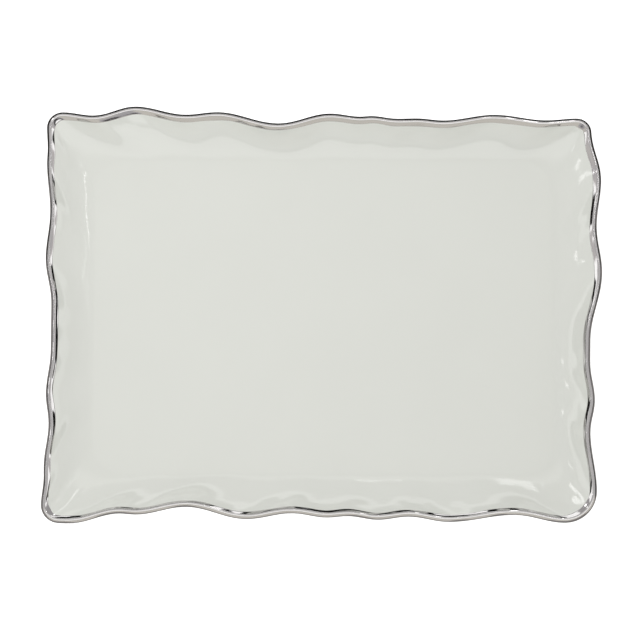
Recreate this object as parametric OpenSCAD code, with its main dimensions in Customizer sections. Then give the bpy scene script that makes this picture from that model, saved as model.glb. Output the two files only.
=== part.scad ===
// China serving platter with a hand-rippled rim.
//
// One porcelain body stands on two luted foot rings. Glaze covers its face and its underside, apart
// from a dry line beside each foot ring, and a platinum band runs over the lip, on top of the glaze.
// The origin is at the middle of the footprint, on the surface that the platter stands on. +X runs
// along the length, +Y along the width towards the back, and +Z up. All sizes are in millimetres.

/* [Overall] */
// Overall length, over the band
platter_length = 457; // [320:1:600]
// Overall width, over the band
platter_width = 346; // [260:1:480]
// Height from the table to the highest point of the rim
platter_height = 30; // [24:0.5:45]

/* [Well] */
// Mean run of the wall, from the edge of the flat floor out to the rim
wall_run = 36; // [28:1:48]
// How the wall curves up: 1 is a straight slope, 2 is a parabola
wall_power = 1.6; // [1.3:0.1:2.5]
// Corner radius of the flat floor
floor_corner_r = 26; // [16:1:40]

/* [Rim] */
// From the deepest trough of the ripple to its furthest crest
ripple_depth = 15; // [0:0.5:20]
// How far the rim drops at that crest
rim_dip = 2; // [0:0.25:4]
// Rim radius at the front left corner
front_left_r = 15; // [10:1:30]
// Rim radius at the front right corner
front_right_r = 26; // [10:1:30]
// Rim radius at the back right corner
back_right_r = 12; // [10:1:30]
// Rim radius at the back left corner
back_left_r = 13; // [10:1:30]

/* [Porcelain] */
// Thickness of the floor
floor_t = 5; // [3:0.25:8]
// Thickness of the full-round lip
lip_t = 4; // [2.5:0.25:6]

/* [Foot rings] */
// Height of both foot rings
foot_h = 5; // [3:0.25:8]
// Width of both foot rings
foot_w = 7; // [5:0.25:10]
// Radius on the bottom edges of both foot rings
foot_edge_r = 1.2; // [0.5:0.1:2]
// From the edge of the flat floor in to the outer foot ring
foot_inset = 9; // [5:0.5:14]
// Length of the centre foot ring, outside
centre_ring_length = 200; // [100:1:220]
// Width of the centre foot ring, outside
centre_ring_width = 110; // [70:1:140]
// Corner radius of the centre foot ring, outside
centre_ring_r = 24; // [12:1:30]

/* [Coats] */
// Thickness of the glaze
glaze_t = 0.3; // [0.2:0.05:0.6]
// Thickness of the platinum band, drawn far above a real film's so that it is a solid
band_t = 0.15; // [0.1:0.05:0.4]
// How far the band reaches down the face, from the tangent of the lip
band_face_w = 3; // [1:0.25:8]
// How far the band reaches down the underside, from the tangent of the lip
band_back_w = 2; // [1:0.25:6]
// Bare gap between the glaze and a foot ring
dry_gap = 1.5; // [0.5:0.25:3]

/* [Hidden] */

BISCUIT = "#e3ded3";
GLAZE = "#dedfd9";
PLATINUM = "#c3bfb9";

// Stations round the rim, on each long side, each short side and each corner
LONG_STEPS = 44;
SHORT_STEPS = 30;
CORNER_STEPS = 4;
// Strips up the face of the wall to the band, and up its underside to the band
FACE_STRIPS = 4;
BACK_STRIPS = 3;
// Facets of the exact round shapes
$fn = 96;

// The ripple of each side, anticlockwise from the front left corner. Only crests and troughs are
// listed, as [share of the way along the side, push outwards as a share of ripple_depth], and half
// a cosine wave joins each to the next.
FRONT_RIPPLE = [
    [0, 0.98], [0.02, 1], [0.12, 0.46], [0.15, 0.53], [0.25, 0.11], [0.37, 0.77], [0.46, 0.45],
    [0.53, 0.69], [0.57, 0.6], [0.63, 0.81], [0.69, 0.63], [0.77, 0.92], [0.9, 0.54], [1, 0.97]
];
RIGHT_RIPPLE = [
    [0, 0.32], [0.16, 0], [0.25, 0.29], [0.35, 0.05], [0.41, 0.08], [0.61, 0.8], [0.73, 0.53],
    [0.87, 0.83], [1, 0.33]
];
BACK_RIPPLE = [
    [0, 0.29], [0.06, 0.18], [0.16, 0.51], [0.26, 0.17], [0.31, 0.3], [0.35, 0.27], [0.4, 0.45],
    [0.42, 0.39], [0.48, 0.59], [0.58, 0], [0.7, 0.67], [0.76, 0.51], [0.86, 1], [0.94, 0.46],
    [1, 0.66]
];
LEFT_RIPPLE = [
    [0, 0.83], [0.06, 0.76], [0.09, 0.8], [0.23, 0.57], [0.35, 0.79], [0.47, 0.43], [0.6, 0.42],
    [0.71, 0.66], [0.79, 0.47], [0.9, 0.71], [0.93, 0.69], [1, 0.83]
];

// The four sides, anticlockwise from the front. Corner k is at the start of side k.
RIPPLES = [FRONT_RIPPLE, RIGHT_RIPPLE, BACK_RIPPLE, LEFT_RIPPLE];
SIDE_ALONG = [[1, 0], [0, 1], [-1, 0], [0, -1]];
SIDE_OUT = [[0, -1], [1, 0], [0, 1], [-1, 0]];
SIDE_STEPS = [LONG_STEPS, SHORT_STEPS, LONG_STEPS, SHORT_STEPS];
half_sizes = [platter_width / 2, platter_length / 2, platter_width / 2, platter_length / 2];
rim_corner_r = [front_left_r, front_right_r, back_right_r, back_left_r];

function crest_push(ripple) = max([for (knot = ripple) knot[1]]);

// How far out each side lies: the troughs of its ripple, and the edge of the flat floor
trough_lines = [for (k = [0:3]) half_sizes[k] - ripple_depth * crest_push(RIPPLES[k])];
floor_lines = [for (line = trough_lines) line + ripple_depth / 2 - wall_run];
floor_half = [floor_lines[1], floor_lines[2]];

// The wall's middle line climbs from the middle of the floor's thickness to the lip's centre
lip_r = lip_t / 2;
finished_lip_r = lip_r + glaze_t + band_t;
floor_mid_z = foot_h + floor_t / 2;
wall_rise = platter_height - finished_lip_r - floor_mid_z;
mid_run = wall_run - finished_lip_r;
function wall_slope(share) = atan(wall_power * wall_rise * pow(share, wall_power - 1) / mid_run);
lip_slope = wall_slope(1);

// Shares of the way up the wall at which a ring of points lies
function share_down(width) = 1 - width * cos(lip_slope) / mid_run;
face_shares = [for (k = [0:FACE_STRIPS]) share_down(band_face_w) * k / FACE_STRIPS];
back_shares = [for (k = [BACK_STRIPS:-1:0]) share_down(band_back_w) * k / BACK_STRIPS];

// ---------------------------------------------------------------- outlines, as flat points

function mix(a, b, share) = a + (b - a) * share;

function unit(v) = v / norm(v);

function backwards(list) = [for (i = [len(list) - 1:-1:0]) list[i]];

// The side, corner or ripple before number k, going anticlockwise
function before(k) = (k + 3) % 4;

function after(k) = (k + 1) % 4;

// Push outwards at a share of the way along a side, as a share of ripple_depth
function push_at(ripple, share, k = 0) =
    share <= ripple[k + 1][0] || k == len(ripple) - 2
        ? let (way = (share - ripple[k][0]) / (ripple[k + 1][0] - ripple[k][0]))
          mix(ripple[k][1], ripple[k + 1][1], (1 - cos(180 * way)) / 2)
        : push_at(ripple, share, k + 1);

function first_push(k) = RIPPLES[k][0][1];

function last_push(k) = RIPPLES[k][len(RIPPLES[k]) - 1][1];

// Centre of the arc at corner k, where one side ends on end_line and the next starts on start_line
function arc_centre(k, end_line, start_line, radius) =
    SIDE_OUT[before(k)] * (end_line - radius) + SIDE_OUT[k] * (start_line - radius);

rim_arc_centres = [
    for (k = [0:3])
        arc_centre(
            k,
            trough_lines[before(k)] + ripple_depth * last_push(before(k)),
            trough_lines[k] + ripple_depth * first_push(k),
            rim_corner_r[k]
        )
];

floor_arc_centres = [
    for (k = [0:3]) arc_centre(k, floor_lines[before(k)], floor_lines[k], floor_corner_r)
];

function corner_points(k, centre, radius) = [
    for (i = [0:CORNER_STEPS - 1])
        let (turn = 90 * i / CORNER_STEPS)
        centre + radius * (SIDE_OUT[before(k)] * cos(turn) + SIDE_OUT[k] * sin(turn))
];

// Points along side k, from its arc centre at one corner to that at the next, on the given lines
function side_points(k, centres, lines) =
    let (from = centres[k] * SIDE_ALONG[k], to = centres[after(k)] * SIDE_ALONG[k])
    [
        for (i = [0:SIDE_STEPS[k] - 1])
            SIDE_ALONG[k] * mix(from, to, i / SIDE_STEPS[k]) + SIDE_OUT[k] * lines[i]
    ];

function side_pushes(k) = [for (i = [0:SIDE_STEPS[k] - 1]) push_at(RIPPLES[k], i / SIDE_STEPS[k])];

function corner_pushes(k) = [
    for (i = [0:CORNER_STEPS - 1]) mix(last_push(before(k)), first_push(k), i / CORNER_STEPS)
];

// The outermost line of the finished rim, and the push at each of its stations
rim_line = [
    for (k = [0:3])
        each concat(
            corner_points(k, rim_arc_centres[k], rim_corner_r[k]),
            side_points(
                k,
                rim_arc_centres,
                [for (push = side_pushes(k)) trough_lines[k] + ripple_depth * push]
            )
        )
];
rim_pushes = [for (k = [0:3]) each concat(corner_pushes(k), side_pushes(k))];
STATIONS = len(rim_line);

// A rounded rectangle, station by station, that lies inside the edge of the flat floor
function floor_line(inset) = [
    for (k = [0:3])
        each concat(
            corner_points(k, floor_arc_centres[k], floor_corner_r - inset),
            side_points(
                k,
                floor_arc_centres,
                [for (i = [0:SIDE_STEPS[k] - 1]) floor_lines[k] - inset]
            )
        )
];
floor_edge = floor_line(0);

// Outward normal of a closed line at station i
function outward(line, i) =
    let (chord = line[(i + 1) % STATIONS] - line[(i + STATIONS - 1) % STATIONS])
    unit([chord[1], -chord[0]]);

function moved_out(line, distance) = [
    for (i = [0:STATIONS - 1]) line[i] + distance * outward(line, i)
];

lip_centre_line = moved_out(rim_line, -finished_lip_r);

// ---------------------------------------------------------------- rings of points, station by station

// A ring a share of the way up the wall's middle line, then moved outwards and upwards
function ring(share, out, up) =
    let (
        middle = [for (i = [0:STATIONS - 1]) mix(floor_edge[i], lip_centre_line[i], share)],
        line = moved_out(middle, out),
        climb = pow(share, wall_power)
    )
    [
        for (i = [0:STATIONS - 1])
            let (rise = wall_rise - rim_dip * rim_pushes[i])
            [line[i][0], line[i][1], floor_mid_z + climb * rise + up]
    ];

// A ring on the face (side = 1) or on the underside (side = -1), proud of the clay by a coat
function wall_ring(share, side, coat) =
    let (reach = side * (mix(floor_t, lip_t, share) / 2 + coat), slope = wall_slope(share))
    ring(share, -reach * sin(slope), reach * cos(slope));

function face_rings(coat) = [for (share = face_shares) wall_ring(share, 1, coat)];

function back_rings(coat) = [for (share = back_shares) wall_ring(share, -1, coat)];

// The lip's angles fall from the tangent of the face to the crest, and on to that of the underside
LIP_CREST = 90;
LIP_OUTERMOST = 0;
crest_angles = [90 + lip_slope, LIP_CREST];
outer_angles = [(LIP_CREST + LIP_OUTERMOST) / 2, LIP_OUTERMOST, lip_slope - 90];

function lip_rings(angles, coat) = [
    for (angle = angles) ring(1, (lip_r + coat) * cos(angle), (lip_r + coat) * sin(angle))
];

// A ring on the flat of the underside, a coat's thickness below the clay
function flat_ring(inset, coat) = [for (point = floor_line(inset)) [point[0], point[1], foot_h - coat]];

// ---------------------------------------------------------------- solids through rings

// The facets between rings a and b, each quad split from a's near corner to b's far one, or crossed
function strip(a, b, crossed) = [
    for (i = [0:STATIONS - 1])
        let (
            j = (i + 1) % STATIONS,
            near_a = a * STATIONS + i,
            far_a = a * STATIONS + j,
            near_b = b * STATIONS + i,
            far_b = b * STATIONS + j
        )
        each crossed
            ? [[near_a, far_a, near_b], [far_a, far_b, near_b]]
            : [[near_a, far_a, far_b], [near_a, far_b, near_b]]
];

// The facets that close ring a, round a hub in the middle of it, with the ring run the way it is seen
function cap(stations, hub) = [
    for (i = [0:STATIONS - 1]) [stations[i], stations[(i + 1) % STATIONS], hub]
];

function ring_stations(a) = [for (i = [0:STATIONS - 1]) a * STATIONS + i];

function hub_point(flat_line) = [0, 0, flat_line[0][2]];

// Joins the rings in order. The first `forward` of them run from the face to the underside. The
// rest run back, with their quads crossed, so that a coat's facets match those that it covers. The
// ends are closed by flat caps, or else the last ring meets the first.
module ring_solid(rings, forward, capped) {
    last = len(rings) - 1;
    hub = len(rings) * STATIONS;
    hubs = capped ? [hub_point(rings[0]), hub_point(rings[last])] : [];
    walls = [for (k = [0:last - 1]) each strip(k, k + 1, k >= forward)];
    ends = capped
        ? concat(cap(backwards(ring_stations(0)), hub), cap(ring_stations(last), hub + 1))
        : strip(last, 0, true);
    polyhedron(concat([for (line = rings) each line], hubs), concat(walls, ends));
}

// A coat that lies on `under` and reaches out to `over`, both listed from the face to the underside
module coat(over, under, capped) {
    ring_solid(concat(over, backwards(under)), len(over), capped);
}

// ---------------------------------------------------------------- foot rings and flat patches

// To a hundredth of a millimetre, so that a ring's bars and quarters meet exactly
function snapped(size) = round(100 * size) / 100;

outer_ring_half = [for (half = floor_half) snapped(half - foot_inset)];
outer_ring_r = snapped(floor_corner_r - foot_inset);
centre_ring_half = [snapped(centre_ring_length / 2), snapped(centre_ring_width / 2)];

// Half sizes and corner radius of a rounded rectangle, drawn in by an inset
function drawn_in(half, inset) = [for (size = half) size - inset];

module rounded_rectangle(half, radius) {
    square([2 * half[0], 2 * (half[1] - radius)], center = true);
    square([2 * (half[0] - radius), 2 * half[1]], center = true);
    for (x = [-1, 1], y = [-1, 1])
        translate([x * (half[0] - radius), y * (half[1] - radius)])
            circle(radius);
}

// Flat top against the clay, and rounded edges where the ring meets the table
module foot_section() {
    translate([-foot_w, foot_edge_r])
        square([foot_w, foot_h - foot_edge_r]);
    translate([foot_edge_r - foot_w, 0])
        square([foot_w - 2 * foot_edge_r, foot_h]);
    for (x = [foot_edge_r - foot_w, -foot_edge_r])
        translate([x, foot_edge_r])
            circle(foot_edge_r);
}

// A ring whose outside is a rounded rectangle
module foot_ring(half, radius) {
    straight = [half[0] - radius, half[1] - radius];
    for (turn = [0, 180])
        rotate(turn) {
            translate([half[0], straight[1], 0])
                rotate([90, 0, 0])
                    linear_extrude(2 * straight[1])
                        foot_section();
            translate([-straight[0], half[1], 0])
                rotate([90, 0, 90])
                    linear_extrude(2 * straight[0])
                        foot_section();
        }
    for (quarter = [0:3])
        translate([
            (quarter == 0 || quarter == 3 ? 1 : -1) * straight[0],
            (quarter < 2 ? 1 : -1) * straight[1],
            0
        ])
            rotate(90 * quarter)
                rotate_extrude(angle = 90)
                    translate([radius, 0])
                        foot_section();
}

// ---------------------------------------------------------------- the pieces

module porcelain_body() {
    rings = concat(
        face_rings(0),
        lip_rings(crest_angles, 0),
        lip_rings(outer_angles, 0),
        back_rings(0)
    );
    color(BISCUIT)
        ring_solid(rings, len(rings), true);
}

module outer_foot_ring() {
    color(BISCUIT)
        foot_ring(outer_ring_half, outer_ring_r);
}

module centre_foot_ring() {
    color(BISCUIT)
        foot_ring(centre_ring_half, centre_ring_r);
}

// From the flat floor up the wall to the crest of the lip
function well_rings(coat) = concat(face_rings(coat), lip_rings(crest_angles, coat));

module well_glaze() {
    color(GLAZE)
        coat(well_rings(glaze_t), well_rings(0), true);
}

// From the crest of the lip, down under the wall and in to the dry line at the foot
function underside_rings(coat) = concat(
    lip_rings([LIP_CREST], coat),
    lip_rings(outer_angles, coat),
    back_rings(coat),
    [flat_ring(foot_inset - dry_gap, coat)]
);

module underside_glaze() {
    color(GLAZE)
        coat(underside_rings(glaze_t), underside_rings(0), false);
}

// Inside the foot rings, as a frame round the centre ring and a patch within it
module base_glaze() {
    color(GLAZE)
        translate([0, 0, foot_h - glaze_t])
            linear_extrude(glaze_t) {
                difference() {
                    rounded_rectangle(
                        drawn_in(outer_ring_half, foot_w + dry_gap),
                        outer_ring_r - foot_w - dry_gap
                    );
                    rounded_rectangle(drawn_in(centre_ring_half, -dry_gap), centre_ring_r + dry_gap);
                }
                rounded_rectangle(
                    drawn_in(centre_ring_half, foot_w + dry_gap),
                    centre_ring_r - foot_w - dry_gap
                );
            }
}

// Over the lip, from just below its tangent on the face to just below that on the underside
function band_rings(coat) = concat(
    [wall_ring(face_shares[FACE_STRIPS], 1, coat)],
    lip_rings(crest_angles, coat),
    lip_rings(outer_angles, coat),
    [wall_ring(back_shares[0], -1, coat)]
);

module rim_band() {
    color(PLATINUM)
        coat(band_rings(glaze_t + band_t), band_rings(glaze_t), false);
}

porcelain_body();
outer_foot_ring();
centre_foot_ring();
well_glaze();
underside_glaze();
base_glaze();
rim_band();
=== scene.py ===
"""China serving platter with a hand-rippled rim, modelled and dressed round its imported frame.

The porcelain body, its glaze, its platinum band and its foot rings are drawn out ring by ring, as a
plate maker works from the flat floor out to the lip. The overall sizes and those of the foot rings
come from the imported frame. The section, the corners and the ripple of the rim are the design's own.
"""

from __future__ import annotations

import logging
import math
from dataclasses import dataclass, field
from enum import Enum
from typing import Callable, Sequence

import bmesh
import bpy
import numpy as np
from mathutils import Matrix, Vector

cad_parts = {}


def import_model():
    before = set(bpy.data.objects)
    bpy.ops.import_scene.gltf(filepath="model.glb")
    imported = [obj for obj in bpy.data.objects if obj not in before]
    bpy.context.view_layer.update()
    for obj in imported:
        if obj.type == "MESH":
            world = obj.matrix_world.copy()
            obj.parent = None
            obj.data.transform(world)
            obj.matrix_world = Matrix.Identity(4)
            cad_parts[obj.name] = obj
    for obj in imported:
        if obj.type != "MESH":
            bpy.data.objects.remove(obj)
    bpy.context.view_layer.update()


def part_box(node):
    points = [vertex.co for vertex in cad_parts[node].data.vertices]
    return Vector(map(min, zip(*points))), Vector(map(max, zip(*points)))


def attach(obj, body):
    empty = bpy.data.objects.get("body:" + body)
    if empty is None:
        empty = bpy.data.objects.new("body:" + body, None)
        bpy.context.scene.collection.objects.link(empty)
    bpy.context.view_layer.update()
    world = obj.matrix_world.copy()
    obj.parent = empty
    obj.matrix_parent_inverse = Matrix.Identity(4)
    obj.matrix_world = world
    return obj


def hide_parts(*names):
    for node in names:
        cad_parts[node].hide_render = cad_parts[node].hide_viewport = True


LOG = logging.getLogger("platter")
MM = 0.001
BODY = "root"
FAR_ABOVE = np.array([0.0, 0.0, 100.0])
FAR_BELOW = -FAR_ABOVE
Share = float | np.ndarray
Socket = bpy.types.NodeSocket


# ------------------------------------------------------------------------------ shared helpers


def linear(hex_colour: str) -> tuple[float, float, float, float]:
    """Turn an sRGB hex colour into linear RGBA.

    Args:
        hex_colour: Six hex digits after a hash.

    Returns:
        The linear red, green and blue, with an alpha of 1.
    """
    channels = [int(hex_colour[i : i + 2], 16) / 255 for i in (1, 3, 5)]
    red, green, blue = [c / 12.92 if c <= 0.04045 else ((c + 0.055) / 1.055) ** 2.4 for c in channels]
    return red, green, blue, 1.0


def add_node(
    tree: bpy.types.NodeTree, kind: str, settings: dict | None = None, links: dict | None = None
) -> bpy.types.Node:
    """Add a node with its settings and links.

    Args:
        tree: The node tree to add to.
        kind: The node's type, such as ShaderNodeTexNoise.
        settings: Values by the name of a property, or else of an input socket.
        links: Output sockets by the name or number of the input socket that each feeds.

    Returns:
        The new node.
    """
    node = tree.nodes.new(kind)
    for name, value in (settings or {}).items():
        if isinstance(name, str) and hasattr(node, name):
            setattr(node, name, value)
        else:
            node.inputs[name].default_value = value
    for name, output in (links or {}).items():
        tree.links.new(output, node.inputs[name])
    return node


def new_material(name: str) -> bpy.types.Material:
    """Make a material whose node tree is empty.

    Args:
        name: The material's name.

    Returns:
        The material.
    """
    material = bpy.data.materials.new(name)
    material.use_nodes = True
    material.node_tree.nodes.clear()
    return material


def noise(tree: bpy.types.NodeTree, place: Socket, scale: float, detail: float) -> Socket:
    """Add a noise texture, and return its pattern."""
    node = add_node(tree, "ShaderNodeTexNoise", {"Scale": scale, "Detail": detail}, {"Vector": place})
    return node.outputs["Fac"]


def spots(tree: bpy.types.NodeTree, place: Socket, spacing_mm: float) -> Socket:
    """Add scattered points, and return the distance from the nearest as a share of their spacing."""
    node = add_node(tree, "ShaderNodeTexVoronoi", {"Scale": per_mm(spacing_mm)}, {"Vector": place})
    return node.outputs["Distance"]


def drawn_along(tree: bpy.types.NodeTree, place: Socket, along_mm: float, across_mm: float) -> Socket:
    """Stretch a map along u, so that a texture on it is along_mm long and across_mm wide."""
    scale = (per_mm(along_mm), per_mm(across_mm), 1.0)
    return add_node(tree, "ShaderNodeMapping", {"Scale": scale}, {"Vector": place}).outputs["Vector"]


def fit_range(
    tree: bpy.types.NodeTree, value: Socket, start: float, end: float, low: float = 0.0, high: float = 1.0
) -> Socket:
    """Map a range of values on another one, stopping at its ends.

    Args:
        tree: The node tree to add to.
        value: The value.
        start: The value that becomes low.
        end: The value that becomes high.
        low: What the range starts at.
        high: What the range ends at.

    Returns:
        The mapped value.
    """
    settings = {"From Min": start, "From Max": end, "To Min": low, "To Max": high}
    return add_node(tree, "ShaderNodeMapRange", settings, {"Value": value}).outputs["Result"]


def mix_colours(tree: bpy.types.NodeTree, share: Socket, first: str | Socket, second: str | Socket) -> Socket:
    """Mix two colours, each a hex colour or an output socket.

    Args:
        tree: The node tree to add to.
        share: The share of the second colour.
        first: The first colour.
        second: The second colour.

    Returns:
        The mixed colour.
    """
    settings, links = {"data_type": "RGBA"}, {0: share}
    for number, colour in ((6, first), (7, second)):
        if isinstance(colour, str):
            settings[number] = linear(colour)
        else:
            links[number] = colour
    return add_node(tree, "ShaderNodeMix", settings, links).outputs[2]


def mix_shaders(tree: bpy.types.NodeTree, share: Socket, first: Socket, second: Socket) -> Socket:
    """Mix two shaders by the share of the second, and return the mixed one."""
    return add_node(tree, "ShaderNodeMixShader", {}, {0: share, 1: first, 2: second}).outputs[0]


def relief(
    tree: bpy.types.NodeTree,
    height: Socket,
    depth_mm: float,
    under: Socket | None = None,
    strength: float = 1.0,
) -> Socket:
    """Add a bump.

    Args:
        tree: The node tree to add to.
        height: The pattern of the bump.
        depth_mm: How deep the pattern is.
        under: The normal of a bump that this one lies on.
        strength: How strongly the bump shows.

    Returns:
        The normal.
    """
    links = {"Height": height}
    if under is not None:
        links["Normal"] = under
    settings = {"Strength": strength, "Distance": depth_mm * MM}
    return add_node(tree, "ShaderNodeBump", settings, links).outputs["Normal"]


def surface(tree: bpy.types.NodeTree, settings: dict, links: dict) -> None:
    """Add a principled shader with its settings and links, as the material's surface."""
    shader = add_node(tree, "ShaderNodeBsdfPrincipled", settings, links)
    add_node(tree, "ShaderNodeOutputMaterial", {}, {"Surface": shader.outputs["BSDF"]})


def per_mm(millimetres: float) -> float:
    """The texture scale that repeats a pattern at a real size, since coordinates are in metres."""
    return 1 / (millimetres * MM)


def start_alone() -> None:
    """Leave edit mode and deselect everything, so that an operator acts on the new piece alone."""
    if bpy.context.object and bpy.context.object.mode != "OBJECT":
        bpy.ops.object.mode_set(mode="OBJECT")
    bpy.ops.object.select_all(action="DESELECT")


# ------------------------------------------------------------------------------ the rim's design


class Side(Enum):
    """The four sides, anticlockwise from the front, each with the ripple of its rim.

    A ripple lists crests and troughs only, as (share of the way along the side, push outwards as a
    share of the ripple's depth). Half a cosine wave joins each to the next.
    """

    FRONT = (
        (0, 0.98), (0.02, 1), (0.12, 0.46), (0.15, 0.53), (0.25, 0.11), (0.37, 0.77), (0.46, 0.45),
        (0.53, 0.69), (0.57, 0.6), (0.63, 0.81), (0.69, 0.63), (0.77, 0.92), (0.9, 0.54), (1, 0.97),
    )
    RIGHT = (
        (0, 0.32), (0.16, 0), (0.25, 0.29), (0.35, 0.05), (0.41, 0.08), (0.61, 0.8), (0.73, 0.53),
        (0.87, 0.83), (1, 0.33),
    )
    BACK = (
        (0, 0.29), (0.06, 0.18), (0.16, 0.51), (0.26, 0.17), (0.31, 0.3), (0.35, 0.27), (0.4, 0.45),
        (0.42, 0.39), (0.48, 0.59), (0.58, 0), (0.7, 0.67), (0.76, 0.51), (0.86, 1), (0.94, 0.46),
        (1, 0.66),
    )
    LEFT = (
        (0, 0.83), (0.06, 0.76), (0.09, 0.8), (0.23, 0.57), (0.35, 0.79), (0.47, 0.43), (0.6, 0.42),
        (0.71, 0.66), (0.79, 0.47), (0.9, 0.71), (0.93, 0.69), (1, 0.83),
    )

    @property
    def number(self) -> int:
        """The side's place in the order, anticlockwise from the front."""
        return list(Side).index(self)

    @property
    def along(self) -> np.ndarray:
        """Unit direction along the side, anticlockwise."""
        return np.array([(1, 0), (0, 1), (-1, 0), (0, -1)][self.number], float)

    @property
    def out(self) -> np.ndarray:
        """Unit direction outwards from the side."""
        return np.array([(0, -1), (1, 0), (0, 1), (-1, 0)][self.number], float)

    @property
    def before(self) -> Side:
        """The side that ends where this one starts."""
        return list(Side)[self.number - 1]

    @property
    def crest(self) -> float:
        """The ripple's greatest push outwards."""
        return max(push for _, push in self.value)

    def push_at(self, share: float) -> float:
        """The push outwards at a share of the way along the side.

        Args:
            share: From 0 at the side's start to 1 at its end.

        Returns:
            The push, as a share of the ripple's depth.
        """
        for (start, low), (end, high) in zip(self.value, self.value[1:]):
            if share <= end:
                way = (share - start) / (end - start)
                return low + (high - low) * (1 - math.cos(math.pi * way)) / 2
        return self.value[-1][1]


def outward_normals(line: np.ndarray) -> np.ndarray:
    """Unit normals that point out of a closed line.

    Args:
        line: The line's points, anticlockwise.

    Returns:
        One normal for each point.
    """
    chord = np.roll(line, -1, axis=0) - np.roll(line, 1, axis=0)
    normals = np.stack([chord[:, 1], -chord[:, 0]], axis=1)
    return normals / np.linalg.norm(normals, axis=1, keepdims=True)


def moved_out(line: np.ndarray, distance: float | np.ndarray) -> np.ndarray:
    """A closed line moved outwards along its normals."""
    return line + outward_normals(line) * np.reshape(distance, (-1, 1))


@dataclass
class PlatterShape:
    """The platter's section and outline, in millimetres, station by station round the rim.

    Stations run anticlockwise from the middle of the front left corner. Each side has a fixed
    number of them, corner to corner, and half of each corner's arc belongs to either side. A dimple
    wave is a count round the rim, a size and a phase.
    """

    length: float
    width: float
    height: float
    foot_height: float
    foot_half: np.ndarray
    centre_half: np.ndarray
    wall_run: float = 36.0
    wall_power: float = 1.6
    floor_corner_r: float = 26.0
    ripple_depth: float = 15.0
    rim_dip: float = 2.0
    rim_corner_r: tuple[float, float, float, float] = (15.0, 26.0, 12.0, 13.0)
    floor_t: float = 5.0
    lip_t: float = 4.0
    glaze_t: float = 0.3
    band_t: float = 0.15
    foot_width: float = 7.0
    foot_inset: float = 9.0
    centre_ring_r: float = 24.0
    dry_gap: float = 1.5
    cells: tuple[int, int] = (80, 58)
    soft_start: float = 0.28
    dimple_depth: float = 0.4
    dimple_middle: float = 0.8
    dimple_spread: float = 0.1
    dimple_waves: tuple[tuple[int, float, float], ...] = (
        (37, 0.6, 0.4), (58, 0.9, 1.9), (71, 0.7, 4.0), (23, 0.5, 2.2),
    )
    lip_edge_r: float = 1.2
    lip_reach: float = 0.33
    lip_turn: float = 15.0
    trough_lines: list[float] = field(init=False)
    floor_lines: list[float] = field(init=False)
    rim: np.ndarray = field(init=False)
    pushes: np.ndarray = field(init=False)
    floor: np.ndarray = field(init=False)
    lip_centres: np.ndarray = field(init=False)

    def __post_init__(self) -> None:
        """Work out the outlines from the sizes."""
        reach = [self.width / 2, self.length / 2] * 2
        self.trough_lines = [reach[side.number] - self.ripple_depth * side.crest for side in Side]
        self.floor_lines = [line + self.ripple_depth / 2 - self.wall_run for line in self.trough_lines]
        self.rim, self.pushes = self._rim()
        self.floor = self.floor_line(0)
        self.lip_centres = moved_out(self.rim, -(self.lip_t / 2 + self.glaze_t + self.band_t))

    @classmethod
    def from_frame(cls) -> PlatterShape:
        """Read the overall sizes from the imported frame.

        Returns:
            The shape.
        """
        low, high = (np.array(corner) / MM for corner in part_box("rim_band"))
        foot_low, foot_high = (np.array(corner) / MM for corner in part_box("outer_foot_ring"))
        centre_low, centre_high = (np.array(corner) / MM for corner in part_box("centre_foot_ring"))
        return cls(
            length=high[0] - low[0],
            width=high[1] - low[1],
            height=high[2],
            foot_height=foot_high[2],
            foot_half=(foot_high - foot_low)[:2] / 2,
            centre_half=(centre_high - centre_low)[:2] / 2,
        )

    # ---- outlines

    def _side_cells(self, side: Side) -> int:
        """How many cells of the floor's grid lie along a side."""
        return self.cells[side.number % 2]

    def _walk(self, side: Side) -> list[tuple[str, float]]:
        """Where each of a side's stations lies: on its first corner, its straight or its last corner.

        Args:
            side: The side to walk along.

        Returns:
            One pair for each station: the stretch it is on, and its share of the way along it.
        """
        half_arc = math.pi / 4 * self.floor_corner_r
        half_sizes = (self.floor_lines[1], self.floor_lines[2])
        straight = 2 * (half_sizes[side.number % 2] - self.floor_corner_r)
        arc_share = half_arc / (straight + 2 * half_arc)
        stations = []
        for i in range(self._side_cells(side)):
            share = i / self._side_cells(side)
            if share < arc_share:
                stations.append(("first", share / arc_share))
            elif share > 1 - arc_share:
                stations.append(("last", (share - 1 + arc_share) / arc_share))
            else:
                stations.append(("straight", (share - arc_share) / (1 - 2 * arc_share)))
        return stations

    def _outline(
        self,
        start_lines: Sequence[float],
        end_lines: Sequence[float],
        radii: Sequence[float],
        line_at: Callable[[Side, float], float],
    ) -> np.ndarray:
        """A closed outline with rounded corners, station by station.

        Args:
            start_lines: How far out each side lies where it starts.
            end_lines: How far out each side lies where it ends.
            radii: The radius of the corner at each side's start.
            line_at: How far out a side lies at a share of the way along its straight.

        Returns:
            One row of x and y for each station.
        """
        sides = list(Side)
        centres = []
        for side in sides:
            k = side.number
            before = side.before
            centres.append(
                before.out * (end_lines[before.number] - radii[k]) + side.out * (start_lines[k] - radii[k])
            )
        points = []
        for side in sides:
            k, after = side.number, sides[(side.number + 1) % 4]
            start, end = centres[k] @ side.along, centres[after.number] @ side.along
            for stretch, share in self._walk(side):
                if stretch == "first":
                    turn = math.radians(45 + 45 * share)
                    arm = side.before.out * math.cos(turn) + side.out * math.sin(turn)
                    points.append(centres[k] + radii[k] * arm)
                elif stretch == "last":
                    turn = math.radians(45 * share)
                    arm = side.out * math.cos(turn) + after.out * math.sin(turn)
                    points.append(centres[after.number] + radii[after.number] * arm)
                else:
                    way = side.along * (start + (end - start) * share)
                    points.append(way + side.out * line_at(side, share))
        return np.array(points)

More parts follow.
